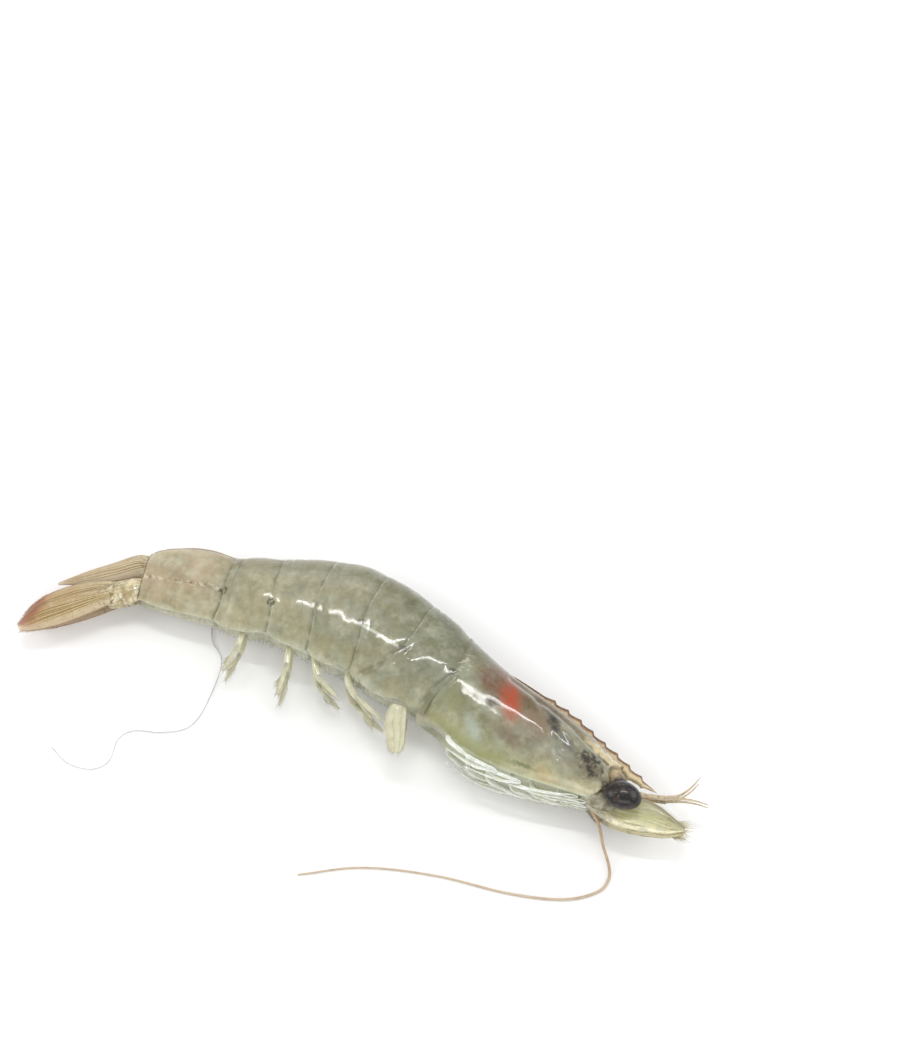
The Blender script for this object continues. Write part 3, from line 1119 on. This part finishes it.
def make_carapace():
    """The shell over head and thorax, and the rostrum on it."""
    def rear(side):
        return joint_edge(1, side)

    def front(side):
        return ABDOMEN_LENGTH + smooth_line(FRONT_EDGE, side)

    make_shell("carapace", rear, front, carapace_relief, "carapace", around=260, count=190)
    finish_piece("rostrum", make_rostrum(), "rostrum", "carapace")


# Tail


def leaf_line(points, height):
    """Functions for a leaf that lies in the plan: its middle line with the way across, and its half width."""
    rows = smooth_path(points, 12)
    index = np.arange(len(rows))
    lines = (*rows.T[:2], *np.gradient(rows[:, :2], axis=0).T)

    def centre(t):
        x, y, way_x, way_y = (np.interp(np.clip(t, 0, 1) * index[-1], index, line) for line in lines)
        middle = (np.stack([x, y, height(t)], -1) - BOX_CENTRE) * MM
        return middle, unit(np.stack([way_y, -way_x, 0 * way_x], -1))

    def half(t):
        return np.interp(np.clip(t, 0, 1) * index[-1], index, rows[:, 2]) * MM

    return centre, half


def fringe(line, from_t, to_t, sides, count, length, radius, seed):
    """Hairs along the margin of a leaf, leaning towards its end."""
    centre, half = line
    draw = random.Random(seed)
    roots, ways, lengths = [], [], []
    for k in range(count):
        t = from_t + (to_t - from_t) * (k + draw.uniform(-0.3, 0.3)) / (count - 1)
        t = min(max(t, 0.02), 0.985)
        (middle, behind, ahead), across = centre(np.array([t, t - 0.02, min(t + 0.02, 1.0)]))
        for side in sides:
            out = Vector(across[0]) * side
            lean = out * draw.uniform(0.6, 1.0) + Vector(ahead - behind).normalized() * (0.9 + 1.6 * t)
            lean.z += draw.uniform(-0.12, 0.12)
            roots.append(Vector(middle) + out * float(half(t)) * 0.93)
            ways.append(lean)
            lengths.append(length * draw.uniform(0.6, 1.2) * MM)
    return bristles(roots, ways, lengths, radius * MM)


def make_fan():
    """The spike and the four blades of the tail fan, with their stems."""
    middle_height = float(body_size(0.0)[3])
    line = leaf_line(TELSON, lambda t: middle_height + 0.0 * t)
    ridges = ((0.0, 0.00018), (0.5, 0.0002), (-0.5, 0.0002))
    finish_piece("telson", blade(line, lambda t: (1.9 - 1.6 * t) * MM, ridges=ridges), "telson")
    for side, word in SIDES:
        # The left blades are a little shorter, and lie close under the right ones
        right_lie, left_lie = (0.0, 1.0, 1.0, 0.24, 0.0), (1.1, 0.93, 0.6, 0.5, 0.05)
        up, share, sag, close, rise = right_lie if side == RIGHT else left_lie
        rows = smooth_path(FAN_STEM, 10)
        path = (np.column_stack([rows[:, 0], rows[:, 1] + up, np.full(len(rows), middle_height + 2.4 * side)])
                - BOX_CENTRE) * MM
        stem = tube(path, rows[:, 2] * MM, around=40, squash=np.linspace(0.58, 0.34, len(path)))
        finish_piece(f"uropod_stem_{word}", stem, "stem")
        for name, rows, out, seed in (("outer", OUTER_BLADE, 3.0, 3), ("inner", INNER_BLADE, 1.8, 5)):
            x0, y0, _ = rows[0]
            rows = [(x0 + (x - x0) * share, y0 + (y - y0) * share + (x0 - x) * rise, wide * (2 * share - 1))
                    for x, y, wide in rows]

            def height(t, out=out * side, sag=sag, close=close):
                return middle_height - t**2 * sag + out * (1 - close * t)

            line = leaf_line(rows, height)
            leaf = blade(
                line, lambda t: (0.34 - 0.18 * t) * MM, 110, 110, [(rib, 0.00010) for rib in FAN_RIBS],
                lambda w, t, side=side: -0.3 * MM * side * w**2 * (1 - 0.4 * t),
            )
            hairs = fringe(line, 0.55, 0.985, (-1, 1), 90, 0.8, 0.035, seed + side)
            finish_piece(f"uropod_{name}_{word}", joined([leaf, hairs]), f"fan_{name}_{word}")


# Head


def make_face():
    """The soft front of the head, which closes the carapace, and the bases of scales and whiskers."""
    def shape(u, v):
        ahead = np.clip((v - 0.12) / 0.88, 0, 1) * np.pi / 2
        s = ABDOMEN_LENGTH + 40.5 + 4.8 * np.sin(ahead)
        shrink = np.clip(v / 0.12, 0, 1) * 0.93 * np.cos(ahead) ** 0.65
        return skin(s, u, 0.25 * np.sin(u * TURN * 5 + s) * np.sin(ahead * 2), shrink)

    face = bent_grid(72, 44, shape, {"lay": lambda u, v: (v, u)})
    finish_piece("face", face, "face", "head_scale_right", "head_scale_left")
    for side, word in SIDES:
        path = smooth_path([head_place(a, b, out * side) for a, b, out in SCALE_BASE], 10)
        radii = np.interp(np.linspace(0, 1, len(path)), (0, 0.5, 0.8, 1), (2.0, 2.3, 2.2, 1.5)) * MM
        finish_piece(f"scale_base_{word}", tube(path, radii, 32, 0.62), "scale_base", f"head_scale_{word}")


def make_eyes():
    """The black eyes on their stalks."""
    heading = np.radians(EYE_HEADING)
    for side, word in SIDES:
        inside, root, centre = (head_place(a, b, out * side) for a, b, out in (*EYESTALK, EYE_CENTRE))
        size = Matrix.Diagonal((*(np.array(EYE_RADII) * MM), 1))
        eye = bmesh.new()
        eye.loops.layers.uv.new("lay")
        bmesh.ops.create_uvsphere(eye, u_segments=64, v_segments=40, radius=1.0, calc_uvs=True)
        for vert in eye.verts:
            x, y, z = vert.co
            vert.co *= 1 + 0.04 * np.sin(3 * x + 2 * y) + 0.02 * np.sin(5 * y - 3 * z + 1)
        matrix = Matrix.Translation(centre) @ Matrix.Rotation(heading, 4, "Z") @ size
        bmesh.ops.transform(eye, matrix=matrix, verts=eye.verts)
        finish_piece(f"eye_{word}", eye, "eye")
        end = centre - np.array([np.cos(heading), np.sin(heading), 0]) * 0.6 * MM
        path = smooth_path([inside, root, (root + centre) / 2, end], 8)
        stalk = tube(path, np.linspace(1.3, 2.5, len(path)) * MM, around=32, squash=0.9)
        finish_piece(f"eyestalk_{word}", stalk, "eyestalk", f"eye_{word}")


def plan_rows(places, halves):
    """Rows of a leaf from places in metres and half widths in millimetres."""
    return [(*to_plan(p)[:2], half) for p, half in zip(places, halves)]


def make_head_scales():
    """The thin scale beside each eye, with its thick outer rib and hairy inner margin."""
    rows = plan_rows([head_place(a, b, 0) for a, b, _ in HEAD_SCALE], [row[2] for row in HEAD_SCALE])
    for side, word in SIDES:
        level = float(body_size(SHELL_END)[3]) + HEAD_SCALE_OUT * side
        line = leaf_line(rows, lambda t, level=level: level + 0.0 * t)
        ridges = ((0.45, 0.0001), (0.1, 0.00012), (-0.25, 0.0001), (-0.6, 0.0001))
        leaf = blade(
            line, lambda t: (0.22 - 0.10 * t) * MM, 96, 100, ridges,
            lambda w, t, side=side: 0.22 * MM * side * bump(w - 0.84, 0.16) * (1 - 0.5 * t),
        )
        hairs = fringe(line, 0.50, 0.985, (-1,), 60, 1.2, 0.045, 11 + side)
        tip = fringe(line, 0.88, 0.985, (-1, 1), 24, 2.6, 0.06, 21 + side)
        finish_piece(f"head_scale_{word}", joined([leaf, hairs, tip]), "scale")


def make_feelers():
    """The forked feelers under the rostrum."""
    for side, word in SIDES:
        parts = []
        for rows, start, end, squash in FEELER:
            path = smooth_path([head_place(a, b, out * side) for a, b, out in rows], 16)
            t = np.linspace(0, 1, len(path))
            radii = (start + (end - start) * t) * MM
            if not parts:
                # The stem narrows at its joints
                waist = 1 - 0.16 * bump(t - 0.42, 0.03) - 0.16 * bump(t - 0.74, 0.03)
                radii = radii * (waist + 0.08 * np.sin(t * 14))
            parts.append(tube(path, radii, around=20, squash=squash))
        finish_piece(f"feeler_{word}", joined(parts), "feeler")


def make_whiskers():
    """The long whiskers on their short thick bases."""
    def laid(rows):
        return [(*row, ON_SURFACE) if len(row) == 2 else row for row in rows]

    along, back, out = WHISKER_ROOT
    hidden = [
        (*to_plan(place(s, across, 0.0))[:2], height) for s, across, height in laid(LEFT_WHISKER_HIDDEN)
    ]
    routes = ((RIGHT, "right", laid(RIGHT_WHISKER), 1.0), (LEFT, "left", hidden + laid(LEFT_WHISKER), 0.6))
    for side, word, ahead, thick in routes:
        path = (smooth_path([to_plan(head_place(along, back, out * side)), *ahead], 14) - BOX_CENTRE) * MM
        gone = np.concatenate([[0], np.cumsum(np.linalg.norm(np.diff(path, axis=0), axis=1))]) / MM
        radii = np.interp(gone, *zip(*WHISKER_RADII)) * MM * thick
        finish_piece(f"whisker_{word}", tube(path, radii, around=10), f"whisker_{word}")


# Limbs


def belly_reach(s, out):
    """How far the belly reaches below the spine at s, out from the middle plane."""
    _, belly, width, _, _, power = body_size(s)
    return belly * 1.025 * (1 - min(abs(out) / width, 0.84) ** power) ** (1 / power)


def clear_of_belly(s, out, clearance):
    """How far below the spine a limb can lie without touching the belly."""
    slope = belly_reach(s, max(abs(out) - 0.5, 0)) - belly_reach(s, abs(out) + 0.5)
    return belly_reach(s, out) + clearance * np.hypot(1, slope)


def jointed_path(points, per_span):
    """Points along straight stretches with slightly rounded knees, per_span to each stretch."""
    points = np.array(points)
    index = np.linspace(0, len(points) - 1, (len(points) - 1) * per_span + 1)
    path = np.stack([np.interp(index, np.arange(len(points)), line) for line in points.T], -1)
    for _ in range(per_span):
        path[1:-1] = (path[:-2] + path[1:-1] * 2 + path[2:]) / 4
    return path


def leg_hairs(path, radii, seed):
    """Sparse hairs along both edges of a leg."""
    draw = random.Random(seed)
    roots, ways, lengths = [], [], []
    for _ in range(46):
        k = draw.randrange(len(path) // 4, len(path) - 4)
        way = Vector(path[k + 2] - path[k]).normalized()
        edge = way.cross(Vector((0, 0, 1))) * draw.choice((-1, 1))
        roots.append(Vector(path[k]) + edge * float(radii[k]) * 0.9 * MM)
        ways.append(edge * draw.uniform(0.3, 0.8) + way)
        lengths.append(draw.uniform(0.6, 1.4) * MM)
    return bristles(roots, ways, lengths, 0.035 * MM)


def pincer(path, radii, t):
    """A leg whose last stretch is a palm with two fingers."""
    palm = t < 0.9
    wrist = path[palm][-1]
    parts = [tube(path[palm], radii[palm] * MM * (1 + 0.3 * bump(t[palm] - 0.84, 0.05)), 18, 0.6)]
    way = path[-1] - wrist
    across = unit(np.cross(way, (0, 0, 1.0)))
    for lean in (-1, 1):
        root = wrist + across * lean * 0.16 * MM
        middle = root + way * 0.5 + across * lean * 0.14 * MM
        tip = root + way * 1.05 - across * lean * 0.10 * MM
        finger = smooth_path([root, middle, tip], 6)
        parts.append(tube(finger, np.linspace(0.20, 0.06, len(finger)) * MM, 10, 0.8))
    return parts


def make_legs():
    """Walking legs and mouth legs, jointed, the front three pairs of walking legs with small pincers."""
    for side, word in SIDES:
        for name, out, places in LEGS:
            first = ABDOMEN_LENGTH + places[0][0]
            points = [
                spine_place(first - 2.5, 3.6 - clear_of_belly(first, out, LEG_CLEARANCE), out * side * 0.6)
            ]
            for along, drop in places:
                s = ABDOMEN_LENGTH + along
                points.append(spine_place(s, -clear_of_belly(s, out, LEG_CLEARANCE) - drop, out * side))
            path = jointed_path(points, 26)
            t = np.linspace(0, 1, len(path))
            radii = 0.72 + (0.22 - 0.72) * t**0.8
            for at in (0.14, 0.36, 0.60, 0.82):
                radii = radii * (1 - 0.30 * bump(t - at, 0.018)) * (1 + 0.14 * bump(t - at + 0.045, 0.03))
            if name in ("leg_1", "leg_2", "leg_3"):
                parts = pincer(path, radii, t)
            else:
                parts = [tube(path, radii * (1 - 0.5 * step(t, 0.86, 1.0)) * MM, 18, 0.6)]
            parts.append(leg_hairs(path, radii, sum(map(ord, name)) + side))
            finish_piece(f"{name}_{word}", joined(parts), "leg")


def broad_swimmeret(root, way, inward, side):
    """The first swimmeret: one broad soft leaf with a fringe."""
    way = way * (1.0 if side == RIGHT else 0.66)
    places = [root + inward * 1.5] + [root + way * far for far in (2.0, 5.5, 8.0, 9.2, 9.7)]
    level = root[2] / MM
    line = leaf_line(plan_rows(places, (1.9, 2.4, 2.15, 1.75, 1.15, 0.3)), lambda t: level + 0.35 - 0.5 * t)
    leaf = blade(line, lambda t: (1.0 - 0.75 * t) * MM, 64, 60, ((0.5, 0.0001), (-0.3, 0.0001)))
    return [leaf, fringe(line, 0.45, 0.98, (-1, 1), 40, 1.0, 0.03, 7 + side)]


def heading_way(degrees):
    """A step of one millimetre over the surface in this direction."""
    return np.array([np.cos(np.radians(degrees)), np.sin(np.radians(degrees)), 0]) * MM


def paddle(end, way, heading, length, half, layer, side, seed):
    """One fringed paddle of a swimmeret, from the end of its stem."""
    ahead, level = heading_way(heading + 6.0 * layer), np.array([0, 0, 0.6 * layer * side]) * MM
    tip = end + ahead * (length - 1 + layer) + level
    middle = end + ahead * length * 0.3 + level
    rows = plan_rows(
        (end - way * 1.6, middle, (middle + tip) / 2, tip), np.array((0.4, 0.55, 0.5, 0.12)) * half
    )
    low, high = end[2] / MM, tip[2] / MM
    line = leaf_line(rows, lambda t: low + (high - low) * step(t, 0.0, 0.35))
    leaf = blade(line, lambda t: (0.28 - 0.16 * t) * MM, 36, 44, ((0.0, 0.0001),))
    return [leaf, fringe(line, 0.3, 0.98, (-1, 1), 40, 1.3, 0.03, seed + layer + side)]


def make_swimmerets():
    """The swimmerets: a flat stem that comes from under the side flap, and two fringed paddles."""
    for number, share, out, heading, stem_length, half, paddle_heading, paddle_length in SWIMMERETS:
        s = STARTS[number] + dict(row[:2] for row in SEGMENTS)[number] * share
        way = heading_way(heading)
        inward = spine_place(s, 1.0, 0.0) - spine_place(s, 0.0, 0.0)
        for side, word in SIDES:
            root = spine_place(s, -clear_of_belly(s, out, 1.3), out * side)
            end = root + way * stem_length
            if number == 1:
                parts = broad_swimmeret(root, way, inward, side)
            else:
                path = smooth_path(
                    [root + inward * 3.2 - way, root + inward, root + way * stem_length * 0.55, end], 12
                )
                t = np.linspace(0, 1, len(path))
                radii = half * MM * (0.62 + 0.7 * t - 0.72 * t**2.4)
                parts = [tube(path, radii, 36, np.linspace(0.55, 0.24, len(path)))]
                for layer in (1.0, -1.0):
                    parts += paddle(end, way, paddle_heading, paddle_length, half, layer, side, number * 7)
            finish_piece(f"swimmeret_{number}_{word}", joined(parts), "swimmeret")


# Scene


def make_floor():
    """A plain pale floor."""
    bm = bmesh.new()
    bmesh.ops.create_grid(bm, x_segments=1, y_segments=1, size=3.0)
    look = bpy.data.materials.new("pale_floor")
    look.use_nodes = True
    shader = look.node_tree.nodes["Principled BSDF"]
    for socket, value in (
        ("Base Color", (0.95, 0.95, 0.95, 1)), ("Roughness", 0.8), ("Specular IOR Level", 0.1)
    ):
        shader.inputs[socket].default_value = value
    floor = add_mesh("floor", bm, look)
    floor.location.z = -0.00002


# Soft boxes all round, and a small bright one nearly overhead that draws the wet glints: name, place,
# width, height and power
LIGHTS = (
    ("glint_box", (0.03, 0.25, 0.88), 0.46, 0.032, 1.6), ("left_box", (-0.95, 0.15, 0.75), 0.7, 0.7, 3.7),
    ("right_box", (0.95, 0.15, 0.75), 0.7, 0.7, 3.7), ("front_box", (0.0, -1.05, 0.70), 0.9, 0.5, 3.1),
    ("back_box", (0.0, 1.05, 0.60), 0.9, 0.5, 1.9),
)


def make_lights():
    world = bpy.data.worlds.new("studio")
    world.use_nodes = True
    background = world.node_tree.nodes["Background"]
    background.inputs["Color"].default_value = (1, 1, 1, 1)
    background.inputs["Strength"].default_value = 0.66
    bpy.context.scene.world = world
    for name, location, width, height, power in LIGHTS:
        light = bpy.data.lights.new(name, "AREA")
        light.shape = "RECTANGLE"
        light.size, light.size_y, light.energy = width, height, power
        lamp = bpy.data.objects.new(name, light)
        lamp.location = location
        lamp.rotation_euler = (-Vector(location)).to_track_quat("-Z", "Y").to_euler()
        bpy.context.scene.collection.objects.link(lamp)


def make_camera():
    """The photograph's camera: level, looking down along +Y."""
    camera = bpy.data.cameras.new("photo")
    camera.sensor_width = 36.0
    camera.lens = CAMERA_DISTANCE / PIXEL_AT_FLOOR * camera.sensor_width / PHOTO_HEIGHT
    camera.clip_start, camera.clip_end = 0.02, 20.0
    eye = bpy.data.objects.new("photo", camera)
    down = np.radians(CAMERA_ELEVATION)
    aim = Vector((PHOTO_CENTRE[0] * MM, PHOTO_CENTRE[1] * MM, 0))
    eye.location = aim + Vector((0, -np.cos(down), np.sin(down))) * CAMERA_DISTANCE
    eye.rotation_euler = (np.radians(90 - CAMERA_ELEVATION), 0, 0)
    bpy.context.scene.collection.objects.link(eye)
    bpy.context.scene.camera = eye


make_looks()
make_carapace()
make_abdomen()
make_flap_hairs()
make_fan()
make_face()
make_eyes()
make_head_scales()
make_feelers()
make_whiskers()
make_legs()
make_swimmerets()
make_floor()
make_lights()
make_camera()
bpy.context.scene.view_settings.view_transform = "Standard"
